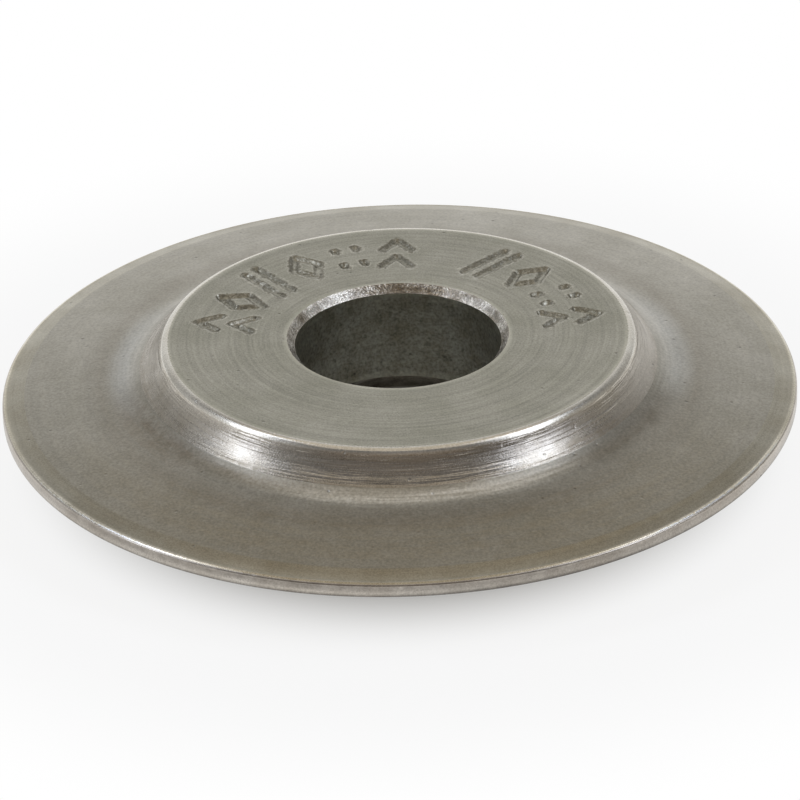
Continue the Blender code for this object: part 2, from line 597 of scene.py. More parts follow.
@dataclass(frozen=True)
class TurnedSteel:
    """Hardened tool steel as one tool left it, with turning lines, a thin oxide and rubbed corners.

    A lathe's own feed lines lie about 0.05 mm apart. They are too fine to show in the render, so they are
    drawn as coarse as they need to be, and deeper on the glossy hub side.

    Attributes:
        name: the material's name.
        metal: colour of the clean metal.
        oxide: colour of the thin oxide that clouds it.
        cloud_size: size of the oxide's clouds.
        cloud_detail: how many times finer clouds are added.
        cloud_range: values of the clouds between which the metal turns to oxide.
        roughness: mean roughness.
        unevenness: how far the roughness follows the clouds, the lines and the grain.
        line_pitch: spacing of the turning lines.
        line_height: height of the lines.
        line_contrast: how far the lines change the brightness.
        line_breaks: how many times a line fades and returns in one turn.
        grain_size: size of the grain of the metal.
        grain_detail: how many times finer grain is added.
        grain_height: height of the grain.
        grain_contrast: how far the grain changes the brightness.
        pit_spacing: spacing of the cells that may hold a pit.
        pit_size: radius of the widest pits.
        pit_depth: depth of the pits.
        pit_shade: how much darker the metal is in a pit.
        wear: how much brighter a rubbed corner is.
        polish: how much smoother a rubbed corner is.
        stains_and_painted_light: stains on the surface, and patches of painted highlight, reflection or
            shade.
        tear_detail: how many times finer spots are added where a stain or patch of painted light is torn.
        tear_range: sums of those spots and the lines between which a stain or patch of painted light goes
            from torn to whole.
    """

    name: str
    metal: str
    oxide: str
    cloud_size: float = 1.3
    cloud_detail: float = 5.0
    cloud_range: Point = (0.3, 0.7)
    roughness: float = 0.34
    unevenness: float = 0.10
    line_pitch: float = 0.10
    line_height: float = 0.0012
    line_contrast: float = 0.30
    line_breaks: float = 10.0
    grain_size: float = 0.040
    grain_detail: float = 2.0
    grain_height: float = 0.0010
    grain_contrast: float = 0.30
    pit_spacing: float = 0.55
    pit_size: float = 0.055
    pit_depth: float = 0.010
    pit_shade: float = 0.35
    wear: float = 0.35
    polish: float = 0.06
    stains_and_painted_light: tuple[StainOrPaintedLight, ...] = ()
    tear_detail: float = 4.0
    tear_range: Point = (0.75, 1.25)

    def places(self, bench: NodeBench) -> SurfacePlaces:
        """Read the surface's own coordinates.

        Args:
            bench: the material's node bench.

        Returns:
            The sockets.
        """
        in_metres = bench.add("ShaderNodeTexCoord", out="Object")
        position = bench.add("ShaderNodeVectorMath", {0: in_metres, "Scale": 1 / MM}, operation='SCALE')
        flat = bench.add("ShaderNodeVectorMath", {0: position, 1: (1.0, 1.0, 0.0)}, operation='MULTIPLY')
        radius = bench.add("ShaderNodeVectorMath", {0: flat}, out="Value", operation='LENGTH')
        height = bench.add("ShaderNodeSeparateXYZ", {0: position}, out="Z")
        return SurfacePlaces(
            position=position,
            around=bench.add("ShaderNodeVectorMath", {0: flat}, operation='NORMALIZE'),
            section=bench.add("ShaderNodeCombineXYZ", {"X": radius, "Y": height}),
            run=bench.add("ShaderNodeAttribute", out="Fac", attribute_name="run"),
            wear=bench.add("ShaderNodeAttribute", out="Fac", attribute_name="wear"),
        )

    def turning_lines(self, bench: NodeBench, at: SurfacePlaces) -> Socket:
        """Draw lines that run round the axis and fade in and out along the way.

        Args:
            bench: the material's node bench.
            at: where the surface is.

        Returns:
            A value about one half.
        """
        turned = bench.add(
            "ShaderNodeVectorMath", {0: at.around, "Scale": self.line_breaks / math.tau}, operation='SCALE'
        )
        across = bench.add("ShaderNodeMath", {0: at.run, 1: self.line_pitch}, operation='DIVIDE')
        lift = bench.add("ShaderNodeCombineXYZ", {"Z": across})
        place = bench.add("ShaderNodeVectorMath", {0: turned, 1: lift}, operation='ADD')
        return bench.add(
            "ShaderNodeTexNoise", {"Vector": place, "Scale": 1.0, "Detail": 3.0, "Roughness": 0.65}, out="Fac"
        )

    def mottle(self, bench: NodeBench, at: SurfacePlaces, size: float, detail: float) -> Socket:
        """Draw an even mottle.

        Args:
            bench: the material's node bench.
            at: where the surface is.
            size: size of its largest spots.
            detail: how many times finer spots are added.

        Returns:
            A value about one half.
        """
        return bench.add(
            "ShaderNodeTexNoise",
            {"Vector": at.position, "Scale": 1 / size, "Detail": detail, "Roughness": 0.6},
            out="Fac",
        )

    def pits(self, bench: NodeBench, at: SurfacePlaces) -> Socket:
        """Scatter small pits where the surface happens to pass near the middle of a cell.

        Args:
            bench: the material's node bench.
            at: where the surface is.

        Returns:
            How deep a point lies in a pit, from zero to one.
        """
        middle = bench.add(
            "ShaderNodeTexVoronoi", {"Vector": at.position, "Scale": 1 / self.pit_spacing}, out="Distance"
        )
        return bench.add(
            "ShaderNodeMapRange",
            {"Value": middle, "From Min": self.pit_size / self.pit_spacing, "From Max": 0.0},
            interpolation_type='SMOOTHSTEP',
        )

    def cover(self, bench: NodeBench, at: SurfacePlaces, stain_or_light: StainOrPaintedLight, lines: Socket) -> Socket:
        """Spread one stain or patch of painted light, torn by spots and by the turning lines.

        Args:
            bench: the material's node bench.
            at: where the surface is.
            stain_or_light: the stain, or the patch of painted light.
            lines: the turning lines.

        Returns:
            How much of the metal it hides.
        """
        off = bench.add(
            "ShaderNodeVectorMath", {0: at.section, 1: (*stain_or_light.middle, 0.0)}, out="Value", operation='DISTANCE'
        )
        cover = bench.add(
            "ShaderNodeMapRange",
            {"Value": off, "From Min": stain_or_light.reach, "From Max": 0.0, "To Max": stain_or_light.cover},
            interpolation_type='SMOOTHSTEP',
        )
        if stain_or_light.spread < 180.0:
            facing = bench.add(
                "ShaderNodeVectorMath",
                {0: at.around, 1: direction(stain_or_light.azimuth, 0.0)},
                out="Value",
                operation='DOT_PRODUCT',
            )
            near = bench.add(
                "ShaderNodeMapRange",
                {
                    "Value": facing,
                    "From Min": math.cos(math.radians(stain_or_light.spread)),
                    "From Max": math.cos(math.radians(stain_or_light.spread / 4)),
                },
                interpolation_type='SMOOTHSTEP',
            )
            cover = bench.add("ShaderNodeMath", {0: cover, 1: near}, operation='MULTIPLY')
        spots = self.mottle(bench, at, stain_or_light.grit, self.tear_detail)
        tears = bench.add("ShaderNodeMath", {0: spots, 1: lines}, operation='ADD')
        torn, whole = self.tear_range
        left = bench.add(
            "ShaderNodeMapRange", {"Value": tears, "From Min": torn, "From Max": whole, "To Min": stain_or_light.least}
        )
        return bench.add("ShaderNodeMath", {0: cover, 1: left}, operation='MULTIPLY')

    def swayed(
        self, bench: NodeBench, mean: float | Socket, sways: list[tuple[Socket, float]]
    ) -> float | Socket:
        """Let a value sway about its mean with some patterns.

        Args:
            bench: the material's node bench.
            mean: the value's mean.
            sways: each pattern, about one half, with the change of the value from its zero to its one.

        Returns:
            The value with the patterns in it.
        """
        value = mean
        for pattern, change in sways:
            offset = bench.add("ShaderNodeMath", {0: pattern, 1: 0.5}, operation='SUBTRACT')
            value = bench.add("ShaderNodeMath", {0: offset, 1: change, 2: value}, operation='MULTIPLY_ADD')
        return value

    def build(self) -> bpy.types.Material:
        """Make the material.

        Returns:
            The material, ready for a Set Material node.
        """
        material = bpy.data.materials.new(self.name)
        material.use_nodes = True
        material.node_tree.nodes.clear()
        bench = NodeBench(material.node_tree)
        at = self.places(bench)
        lines = self.turning_lines(bench, at)
        clouds = self.mottle(bench, at, self.cloud_size, self.cloud_detail)
        grain = self.mottle(bench, at, self.grain_size, self.grain_detail)
        pits = self.pits(bench, at)

        clean, clouded = self.cloud_range
        oxide = bench.add("ShaderNodeMapRange", {"Value": clouds, "From Min": clean, "From Max": clouded})
        colour = bench.add(
            "ShaderNodeMix",
            {0: oxide, 6: linear(self.metal), 7: linear(self.oxide)},
            out=2,
            data_type='RGBA',
        )
        roughness = self.swayed(
            bench, self.roughness, [(pattern, self.unevenness) for pattern in (clouds, lines, grain)]
        )
        for stain_or_light in self.stains_and_painted_light:
            cover = self.cover(bench, at, stain_or_light, lines)
            colour = bench.add(
                "ShaderNodeMix", {0: cover, 6: colour, 7: linear(stain_or_light.colour)}, out=2, data_type='RGBA'
            )
            roughness = bench.add(
                "ShaderNodeMath", {0: cover, 1: stain_or_light.dulling, 2: roughness}, operation='MULTIPLY_ADD'
            )
        colour, roughness = self.add_marks_of_use(bench, at, colour, roughness)
        shade = self.swayed(bench, 1.0, [(lines, self.line_contrast), (grain, self.grain_contrast)])
        shade = bench.add("ShaderNodeMath", {0: at.wear, 1: self.wear, 2: shade}, operation='MULTIPLY_ADD')
        shade = bench.add("ShaderNodeMath", {0: pits, 1: -self.pit_shade, 2: shade}, operation='MULTIPLY_ADD')
        colour = bench.add("ShaderNodeVectorMath", {0: colour, "Scale": shade}, operation='SCALE')
        roughness = bench.add(
            "ShaderNodeMath", {0: at.wear, 1: -self.polish, 2: roughness}, operation='MULTIPLY_ADD'
        )

        normal = None
        reliefs = ((lines, self.line_height), (grain, self.grain_height), (pits, -self.pit_depth))
        for height, reach in reliefs:
            feeds = {"Height": height, "Distance": abs(reach) * MM}
            if normal:
                feeds["Normal"] = normal
            normal = bench.add("ShaderNodeBump", feeds, out="Normal", invert=reach < 0.0)
        shader = bench.add(
            "ShaderNodeBsdfPrincipled",
            {"Base Color": colour, "Roughness": roughness, "Normal": normal, "Metallic": 1.0},
        )
        bench.add("ShaderNodeOutputMaterial", {"Surface": shader})
        return material

    def add_marks_of_use(
        self, bench: NodeBench, at: SurfacePlaces, colour: Socket, roughness: Socket
    ) -> tuple[Socket, Socket]:
        """Change the plain finish where this surface has something of its own.

        Args:
            bench: the material's node bench.
            at: where the surface is.
            colour: the plain finish's colour.
            roughness: its roughness.

        Returns:
            The colour and roughness to use.
        """
        return colour, roughness


@dataclass(frozen=True)
class StampedFace(TurnedSteel):
    """A faced surface whose stamped marks hold a brown stain, with a painted glint on the burrs beside them.

    Attributes:
        stain: colour of the stain.
        stain_cover: how much of the metal it hides at most.
        stain_dulling: how much rougher it makes the metal.
        wall_place: distance of the marks' walls from their lines.
        wall_width: half the width of the stain along a wall.
        burr: colour of the painted glint on the burrs beside a wall.
        burr_glint_cover: how much of the metal the glint takes at most.
        burr_place: distance of the burrs, and of their painted glint, from the wall.
        burr_glint_width: half the width of the glint.
        ragged_size: size of the tears in all these lines.
        ragged_detail: how many times finer tears are added.
        ragged_reach: how far the tears shift them.
    """

    stain: str = "564B39"
    stain_cover: float = 0.42
    stain_dulling: float = 0.15
    wall_place: float = 0.085
    wall_width: float = 0.050
    # Colour of a painted glint on the burrs, lighter where they catch the light.
    burr: str = "CFCBBE"
    burr_glint_cover: float = 0.32
    burr_place: float = 0.070
    burr_glint_width: float = 0.030
    ragged_size: float = 0.11
    ragged_detail: float = 3.0
    ragged_reach: float = 0.36

    def add_marks_of_use(
        self, bench: NodeBench, at: SurfacePlaces, colour: Socket, roughness: Socket
    ) -> tuple[Socket, Socket]:
        """Stain the walls of the marks, and paint a glint on the burrs inside and outside of them.

        Args:
            bench: the material's node bench.
            at: where the surface is.
            colour: the plain finish's colour.
            roughness: its roughness.

        Returns:
            The colour and roughness with the stains and burrs.
        """
        aside = bench.add("ShaderNodeAttribute", out="Fac", attribute_name="aside")
        torn = self.mottle(bench, at, self.ragged_size, self.ragged_detail)
        off = self.swayed(bench, aside, [(torn, self.ragged_reach)])
        bands = (
            (self.wall_place, self.wall_width, self.stain, self.stain_cover, self.stain_dulling),
            # The burrs' band is a painted glint: a lighter colour where the raised burrs catch the light.
            (self.burr_place, self.burr_glint_width, self.burr, self.burr_glint_cover, 0.0),
        )
        for place, width, tint, most, dulling in bands:
            off = bench.add("ShaderNodeMath", {0: off, 1: place}, operation='SUBTRACT')
            off = bench.add("ShaderNodeMath", {0: off}, operation='ABSOLUTE')
            held = bench.add(
                "ShaderNodeMapRange",
                {"Value": off, "From Min": width, "From Max": 0.0, "To Max": most},
                interpolation_type='SMOOTHSTEP',
            )
            colour = bench.add(
                "ShaderNodeMix", {0: held, 6: colour, 7: linear(tint)}, out=2, data_type='RGBA'
            )
            if dulling:
                roughness = bench.add(
                    "ShaderNodeMath", {0: held, 1: dulling, 2: roughness}, operation='MULTIPLY_ADD'
                )
        return colour, roughness


FINISHES: dict[Zone, TurnedSteel] = {
    # Reamed and then heated: a dark wall with soft streaks of what lies under the wheel.
    Zone.BORE: TurnedSteel(
        name="reamed_tool_steel",
        metal="A1A196",
        oxide="827F70",
        cloud_size=0.5,
        roughness=0.46,
        line_contrast=0.45,
        grain_size=0.07,
        grain_contrast=1.8,
        pit_spacing=0.35,
    ),
    # Chattered by a countersink: it breaks the light into sparks, and is browner and darker at the back.
    Zone.CHAMFER: TurnedSteel(
        name="chattered_tool_steel",
        metal="DAD7CF",
        oxide="7C7365",
        cloud_size=0.4,
        roughness=0.17,
        line_pitch=0.09,
        line_height=0.0060,
        grain_size=0.048,
        grain_height=0.0230,
        grain_contrast=1.8,
        stains_and_painted_light=(StainOrPaintedLight("79684C", 0.85, (2.49, 1.41), 0.4, azimuth=82.0, spread=32.0, grit=0.10),),
    ),
    # Faced on a lathe: an even olive grey with faint arcs of the tool's feed.
    Zone.HUB_FACE: StampedFace(
        name="faced_tool_steel",
        metal="A19E92",
        oxide="929082",
        line_pitch=0.09,
        line_breaks=7.0,
        line_contrast=0.80,
        line_height=0.0021,
        grain_contrast=1.0,
        grain_height=0.0030,
    ),
    # Rubbed in handling: a thin bright line round the hub, lightened in front by a painted highlight.
    Zone.HUB_EDGE: TurnedSteel(
        name="rubbed_tool_steel",
        metal="C2BFB7",
        oxide="AFAA9F",
        roughness=0.26,
        grain_contrast=0.9,
        grain_height=0.0022,
        wear=0.30,
        polish=0.03,
        # Painted highlight: a pale colour along the front of the edge.
        stains_and_painted_light=(StainOrPaintedLight("E4E0D6", 0.55, (5.36, 1.45), 0.30, azimuth=-90.0, spread=50.0, least=0.5),),
    ),
    # Turned with a form tool: glossy, with deep close lines that cut up the highlights, and painted shade
    # that dims its highlights at the left and right and its top at the far left.
    Zone.HUB_SIDE: TurnedSteel(
        name="form_turned_tool_steel",
        metal="C4BFB6",
        oxide="ADA699",
        cloud_size=0.6,
        roughness=0.22,
        line_pitch=0.130,
        line_height=0.0310,
        line_contrast=0.60,
        grain_contrast=0.8,
        grain_height=0.0018,
        stains_and_painted_light=(
            StainOrPaintedLight("8F8778", 0.9, (6.03, 0.82), 0.24, dulling=0.14, grit=0.12, least=0.0),
            StainOrPaintedLight("6B5B43", 0.65, (5.95, 0.87), 0.45, azimuth=-38.0, spread=20.0, dulling=0.15),
            # Painted shade: darker at the top of the side at the far left, dimming a highlight.
            StainOrPaintedLight("7D7668", 0.50, (5.75, 1.10), 0.60, azimuth=-168.0, spread=42.0, dulling=0.24, least=0.5),
            StainOrPaintedLight("ABA59B", 0.90, (5.64, 1.28), 0.48, azimuth=-93.0, spread=27.0, dulling=0.10, least=0.8),
            # Painted shade: darker where the right highlight falls, dimming it.
            StainOrPaintedLight("96908A", 0.85, (5.60, 1.25), 0.50, azimuth=-54.0, spread=22.0,
                 dulling=0.12, grit=0.45, least=0.2),
            # Painted shade: darker where the left highlight falls, dimming it.
            StainOrPaintedLight("9C968E", 0.70, (5.62, 1.25), 0.50, azimuth=-132.0, spread=18.0,
                 dulling=0.05, grit=0.45, least=0.2),
            StainOrPaintedLight("C2BCB2", 0.90, (5.75, 1.05), 0.75, azimuth=-4.0, spread=36.0, dulling=0.17, least=0.8),
        ),
    ),
    # Quenched and left with its scale: a dull brown grey, darker in a ring round the hub, with painted
    # reflections and sheens on the fillet and painted shade over the front.
    Zone.WEB: TurnedSteel(
        name="quenched_tool_steel",
        metal="A5A197",
        oxide="979387",
        line_contrast=0.34,
        line_height=0.0014,
        grain_size=0.064,
        grain_contrast=0.85,
        grain_height=0.0022,
        stains_and_painted_light=(
            # Painted reflection: a lighter band all round the fillet.
            StainOrPaintedLight("BDB9AF", 0.50, (6.22, 0.71), 0.32, grit=0.10),
            # Painted reflection: lighter still on the fillet in front.
            StainOrPaintedLight("DFDFDA", 0.85, (6.31, 0.68), 0.33, azimuth=-88.0, spread=44.0, grit=0.09),
            StainOrPaintedLight("5E5645", 0.40, (6.86, 0.59), 0.26, azimuth=-78.0, spread=26.0, least=0.0),
            # Painted highlight: near white on the fillet in front.
            StainOrPaintedLight("F6F4EE", 0.36, (6.18, 0.74), 0.28, azimuth=-92.0, spread=46.0, grit=0.06, least=0.0),
            StainOrPaintedLight("6F6450", 0.50, (6.22, 0.71), 0.34, azimuth=-128.0, spread=22.0, least=0.3),
            StainOrPaintedLight("837C6F", 0.46, (6.98, 0.56), 0.66, dulling=0.05, least=0.4),
            StainOrPaintedLight("786D5A", 0.30, (7.22, 0.53), 0.42, azimuth=-92.0, spread=62.0, least=0.4),
            # Painted shade: the web darker and browner over its front.
            StainOrPaintedLight("8A7D62", 0.55, (8.0, 0.42), 1.6, azimuth=-90.0, spread=85.0, least=0.5),
            StainOrPaintedLight("6B5B43", 0.58, (6.36, 0.67), 0.60, azimuth=-156.0, spread=24.0, dulling=0.12),
            # Painted sheens: pale blue grey on the fillet at the left and at the right.
            StainOrPaintedLight("C3C6C8", 0.36, (6.46, 0.65), 0.50, azimuth=174.0, spread=30.0, least=0.6),
            StainOrPaintedLight("C3C6C8", 0.30, (6.50, 0.64), 0.52, azimuth=6.0, spread=30.0, least=0.6),
            StainOrPaintedLight("655C4C", 0.60, (6.34, 0.69), 0.62, azimuth=-32.0, spread=24.0, dulling=0.12, least=0.5),
        ),
    ),
    # Ground in one pass: like the web, but rolled up into a bright burr along the rim, with painted shade in
    # front and painted highlights on the burr at the left and right.
    Zone.BEVEL: TurnedSteel(
        name="ground_tool_steel",
        metal="AEAA9D",
        oxide="9A9484",
        line_contrast=0.55,
        grain_contrast=0.9,
        wear=0.9,
        polish=0.08,
        stains_and_painted_light=(
            # Painted shade: darker and browner in front, as on the web.
            StainOrPaintedLight("8A7D62", 0.45, (8.8, 0.28), 0.4, azimuth=-90.0, spread=85.0, least=0.5),
            # Painted shade: the burr darker in front.
            StainOrPaintedLight("7C7361", 0.65, (9.2, 0.16), 0.12, azimuth=-90.0, spread=46.0, least=0.5),
            # Painted highlights: near white on the burr at the left and at the right.
            StainOrPaintedLight("FFF9EE", 0.90, (9.2, 0.16), 0.10, azimuth=-140.0, spread=24.0, grit=0.12, least=0.1),
            StainOrPaintedLight("FFF5E6", 0.90, (9.2, 0.16), 0.10, azimuth=-38.0, spread=24.0, grit=0.12, least=0.1),
        ),
    ),
    # Blunted flat: a pale rim, burred at its corners, with painted shade that darkens its front and draws a
    # dark line along its foot.
    Zone.LAND: TurnedSteel(
        name="blunted_tool_steel",
        metal="C6C0B7",
        oxide="ABA398",
        roughness=0.30,
        line_contrast=0.5,
        grain_contrast=1.0,
        wear=0.25,
        polish=-0.03,
        stains_and_painted_light=(
            # Painted shade: darker over the front.
            StainOrPaintedLight("655F59", 0.85, (9.25, 0.08), 0.16, azimuth=-96.0, spread=85.0, least=0.5),
            # Painted shade: a dark line along the foot, widest in front.
            StainOrPaintedLight("1C1A18", 1.00, (9.25, -0.18), 0.14, azimuth=-84.0, spread=95.0, least=0.75),
            # Painted shade: the lower half darker at the front right.
            StainOrPaintedLight("55524E", 0.60, (9.25, -0.14), 0.20, azimuth=-66.0, spread=30.0, least=0.5),
        ),
    ),
}


@dataclass
class CutterWheel:
    """The whole wheel: its swept body, its stamped marks, its nicks and its finishes.

    Attributes:
        outline: its half section.
        marks: the marks in its upper face.
        nicks: the dents in its edges.
        finishes: the finish of each of its surfaces.
        turning_steps: number of steps round the axis.
        hoop_radius: radius of the hoop along which the section is swept.
        weld_distance: distance below which points are merged.
        wear_reach: how far the wear reaches from a rubbed edge.
        sharp_turn: turn of the outline from which a corner is rubbed.
        crease: angle between two faces from which their edge is sharp.
        seed: seed of the punches' tilt.
    """

    outline: WheelOutline
    marks: StampedMarks
    nicks: Nicks
    finishes: dict[Zone, TurnedSteel]
    turning_steps: int = 540
    hoop_radius: float = 5.0
    weld_distance: float = 0.0001
    wear_reach: float = 0.06
    sharp_turn: float = 20.0
    crease: float = 38.0
    seed: int = 4

    def build_section(self) -> bpy.types.Object:
        """Draw the half section as open lines, with the zone, run and wear of each point.

        Returns:
            The object that the sweep is made on, with its lines measured from the hoop they follow.
        """
        points, edges, zones, runs, worn = [], [], [], [], []
        run = 0.0
        strips = self.outline.strips()
        for number, strip in enumerate(strips):
            first, start = len(points), run
            for place, (radius, height) in enumerate(strip.points):
                if place:
                    run += math.dist(strip.points[place - 1], (radius, height))
                    edges.append((first + place - 1, first + place))
                points.append(((radius - self.hoop_radius) * MM, -height * MM, 0.0))
                zones.append(int(strip.zone))
                runs.append(run)
            if strip.rubbed:
                worn.append((start, run))
            if strip.turn_to(strips[(number + 1) % len(strips)]) > self.sharp_turn:
                worn.append((run, run))
        section = bpy.data.meshes.new(CAD_NODE)
        section.from_pydata(points, edges, [])
        gaps = [min(max(start - run, run - end, 0.0) for start, end in worn) for run in runs]
        wears = [math.exp(-((gap / self.wear_reach) ** 2)) for gap in gaps]
        for name, kind, values in (("zone", 'INT', zones), ("run", 'FLOAT', runs), ("wear", 'FLOAT', wears)):
            section.attributes.new(name, kind, 'POINT').data.foreach_set("value", values)
        return bpy.data.objects.new("turned_cutter_wheel", section)

    def input_socket(self, tree: bpy.types.NodeTree, name: str, kind: str) -> str:
        """Add a named input to a tree and hand back its identifier."""
        kind = f"NodeSocket{kind}"
        return tree.interface.new_socket(name=name, in_out='INPUT', socket_type=kind).identifier

    def sweep_body(self, bench: NodeBench, inputs: dict) -> Socket:
        """Sweep the section round the axis and close the body.

        Args:
            bench: the tree's node bench.
            inputs: the tree's input sockets, by name.

        Returns:
            The closed body, with its zone on its faces and its run on its corners.
        """
        section = bench.add("GeometryNodeMeshToCurve", {"Mesh": inputs["Section"]})
        hoop = bench.add(
            "GeometryNodeCurvePrimitiveCircle",
            {"Resolution": inputs["Turning steps"], "Radius": inputs["Hoop radius"]},
        )
        body = bench.add("GeometryNodeCurveToMesh", {"Curve": hoop, "Profile Curve": section})
        for name, kind, domain in (("zone", 'INT', 'FACE'), ("run", 'FLOAT', 'CORNER')):
            swept = bench.add("GeometryNodeInputNamedAttribute", {"Name": name}, data_type=kind)
            body = bench.add(
                "GeometryNodeStoreNamedAttribute",
                {"Geometry": body, "Name": name, "Value": swept},
                data_type=kind,
                domain=domain,
            )
        return bench.add(
            "GeometryNodeMergeByDistance", {"Geometry": body, "Distance": inputs["Weld distance"]}
        )

    def strike_marks(self, bench: NodeBench, inputs: dict, body: Socket) -> Socket:
        """Press the punches' lines into the hub face and raise a burr beside them.

        Args:
            bench: the tree's node bench.
            inputs: the tree's input sockets, by name.
            body: the swept body.

        Returns:
            The body with its marks, and how far each point is aside of their lines stored on it.
        """
        seats = bench.add("GeometryNodeObjectInfo", {"Object": inputs["Punch seats"]}, out="Geometry")
        punches = bench.add(
            "GeometryNodeCollectionInfo",
            {"Collection": inputs["Punches"], "Separate Children": True, "Reset Children": True},
        )
        most = self.marks.greatest_tilt
        tilt = bench.add(
            "FunctionNodeRandomValue", {2: -most, 3: most, "Seed": inputs["Seed"]}, out=1, data_type='FLOAT'
        )
        motif = bench.add("GeometryNodeInputNamedAttribute", {"Name": "motif"}, data_type='INT')
        aim = bench.add("GeometryNodeInputNamedAttribute", {"Name": "turn"}, data_type='FLOAT')
        turn = bench.add("ShaderNodeMath", {0: aim, 1: tilt}, operation='ADD')
        wires = bench.add(
            "GeometryNodeInstanceOnPoints",
            {
                "Points": seats,
                "Instance": punches,
                "Pick Instance": True,
                "Instance Index": motif,
                "Rotation": bench.add("ShaderNodeCombineXYZ", {"Z": turn}),
            },
        )
        wires = bench.add("GeometryNodeRealizeInstances", {"Geometry": wires})
        distance = bench.add("GeometryNodeProximity", {0: wires}, out="Distance", target_element='EDGES')
        position = bench.add("GeometryNodeInputPosition")
        rough = bench.add(
            "ShaderNodeTexNoise",
            {"Vector": position, "Scale": self.marks.tear_scale, "Detail": 3.0, "Roughness": 0.6},
            out="Fac",
        )
        half_stroke = bench.add("ShaderNodeMath", {0: inputs["Stroke width"], 1: 0.5}, operation='MULTIPLY')
        half_wall = bench.add("ShaderNodeMath", {0: inputs["Wall width"], 1: 0.5}, operation='MULTIPLY')
        aside = bench.add("ShaderNodeMath", {0: distance, 1: 1 / MM}, operation='MULTIPLY')
        body = bench.add(
            "GeometryNodeStoreNamedAttribute",
            {"Geometry": body, "Name": "aside", "Value": aside},
            data_type='FLOAT',
            domain='POINT',
        )
        ragged = bench.add("ShaderNodeMath", {0: rough, 1: 0.5}, operation='SUBTRACT')
        distance = bench.add(
            "ShaderNodeMath", {0: ragged, 1: inputs["Wall width"], 2: distance}, operation='MULTIPLY_ADD'
        )
        sunk = bench.add(
            "ShaderNodeMapRange",
            {
                "Value": distance,
                "From Min": bench.add("ShaderNodeMath", {0: half_stroke, 1: half_wall}, operation='ADD'),
                "From Max": bench.add("ShaderNodeMath", {0: half_stroke, 1: half_wall}, operation='SUBTRACT'),
            },
            interpolation_type='SMOOTHSTEP',
        )
        burr_place = bench.add("ShaderNodeMath", {0: half_stroke, 1: inputs["Wall width"]}, operation='ADD')
        off_burr = bench.add("ShaderNodeMath", {0: distance, 1: burr_place}, operation='SUBTRACT')
        off_burr = bench.add("ShaderNodeMath", {0: off_burr}, operation='ABSOLUTE')
        raised = bench.add(
            "ShaderNodeMapRange",
            {"Value": off_burr, "From Min": inputs["Wall width"], "From Max": 0.0},
            interpolation_type='SMOOTHSTEP',
        )
        blow = bench.add(
            "ShaderNodeTexNoise",
            {"Vector": position, "Scale": self.marks.blow_scale, "Detail": 1.0, "Roughness": 0.5},
            out="Fac",
        )
        faint, full = self.marks.blow_range
        force = bench.add(
            "ShaderNodeMapRange",
            {"Value": blow, "From Min": faint, "From Max": full, "To Min": self.marks.faintest},
        )
        sunk = bench.add("ShaderNodeMath", {0: sunk, 1: force}, operation='MULTIPLY')
        drop = bench.add("ShaderNodeMath", {0: sunk, 1: inputs["Depth"]}, operation='MULTIPLY')
        lift = bench.add("ShaderNodeMath", {0: raised, 1: inputs["Burr height"]}, operation='MULTIPLY')
        lift = bench.add("ShaderNodeMath", {0: lift, 1: rough}, operation='MULTIPLY')
        shift = bench.add("ShaderNodeMath", {0: lift, 1: drop}, operation='SUBTRACT')
        return bench.add(
            "GeometryNodeSetPosition",
            {"Geometry": body, "Offset": bench.add("ShaderNodeCombineXYZ", {"Z": shift})},
        )

    def dent_edges(self, bench: NodeBench, inputs: dict, body: Socket) -> Socket:
        """Press the small nicks into the edges.

        Args:
            bench: the tree's node bench.
            inputs: the tree's input sockets, by name.
            body: the body so far.

        Returns:
            The dented body.
        """
        places = bench.add("GeometryNodeObjectInfo", {"Object": inputs["Nick places"]}, out="Geometry")
        distance = bench.add("GeometryNodeProximity", {0: places}, out="Distance", target_element='POINTS')
        dent = bench.add(
            "ShaderNodeMapRange",
            {
                "Value": distance,
                "From Min": inputs["Nick size"],
                "From Max": 0.0,
                "To Max": inputs["Nick depth"],
            },
            interpolation_type='SMOOTHSTEP',
        )
        inwards = bench.add("ShaderNodeMath", {0: dent, 1: -1.0}, operation='MULTIPLY')
        normal = bench.add("GeometryNodeInputNormal")
        offset = bench.add("ShaderNodeVectorMath", {0: normal, "Scale": inwards}, operation='SCALE')
        return bench.add("GeometryNodeSetPosition", {"Geometry": body, "Offset": offset})

